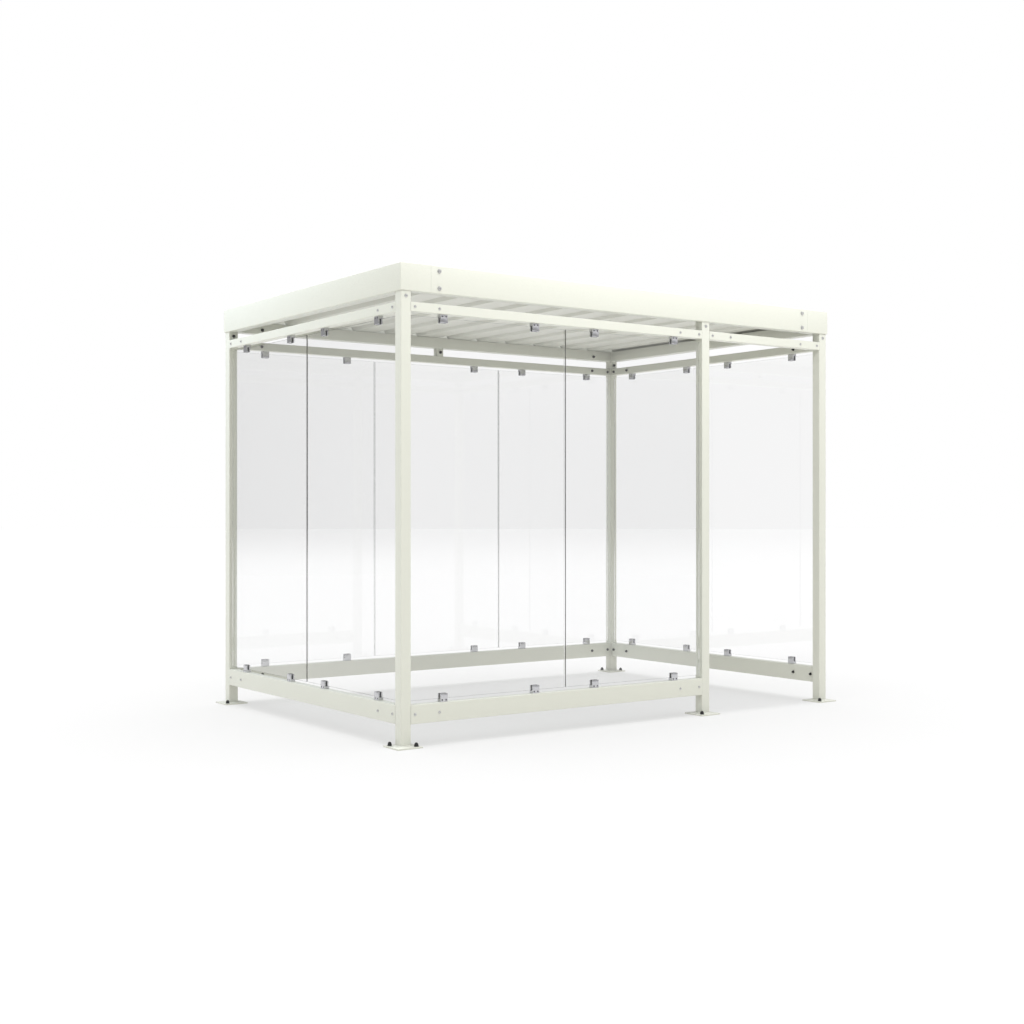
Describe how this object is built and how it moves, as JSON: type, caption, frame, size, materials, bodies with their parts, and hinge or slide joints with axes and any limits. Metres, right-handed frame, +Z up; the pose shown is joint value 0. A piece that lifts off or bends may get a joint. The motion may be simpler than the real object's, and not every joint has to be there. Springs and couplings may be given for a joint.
{
  "type": "smoking shelter",
  "caption": "Open smoking shelter: bolted square-tube steel frame with clamped clear glass walls, an open doorway and a flat ribbed steel roof behind a deep fascia.",
  "frame": {"origin": "on the floor, in the middle of the shelter's plan", "axes": "+X along the front from left to right, +Y from the front to the back, +Z up"},
  "size_m": [3.27, 2.25, 2.5],
  "materials": {
    "frame_paint": "off-white powder coat, satin",
    "roof_paint": "off-white coated sheet steel, satin",
    "glass": "clear toughened glass with polished edges",
    "clamp_metal": "satin cast clamp metal",
    "rubber": "black rubber",
    "bolt_steel": "zinc-plated bolt heads and screws",
    "black_cap": "black domed nut covers"
  },
  "bodies": {
    "root": {"base_plates": "frame_paint", "post_front_left": "frame_paint", "post_front_middle": "frame_paint", "post_front_right": "frame_paint", "post_back_left": "frame_paint", "post_back_right": "frame_paint", "stub_back": "frame_paint", "joining_sleeves": "frame_paint", "roof_spigots": "frame_paint", "top_rail_front": "frame_paint", "top_rail_doorway": "frame_paint", "top_rail_left": "frame_paint", "top_rail_right": "frame_paint", "top_rail_back": "frame_paint", "bottom_rail_front": "frame_paint", "bottom_rail_left": "frame_paint", "bottom_rail_right": "frame_paint", "bottom_rail_back": "frame_paint", "glass_front_left": "glass", "glass_front_right": "glass", "glass_left_front": "glass", "glass_left_back": "glass", "glass_right_front": "glass", "glass_right_back": "glass", "glass_back_left": "glass", "glass_back_middle": "glass", "glass_back_right": "glass", "clamps_front": "clamp_metal", "clamps_left": "clamp_metal", "clamps_right": "clamp_metal", "clamps_back": "clamp_metal", "rubbers_front": "rubber", "rubbers_left": "rubber", "rubbers_right": "rubber", "rubbers_back": "rubber", "fascia_left": "frame_paint", "fascia_right": "frame_paint", "fascia_front": "frame_paint", "fascia_back": "frame_paint", "fascia_splices": "frame_paint", "roof_sheet": "roof_paint"}
  },
  "joints": []
}
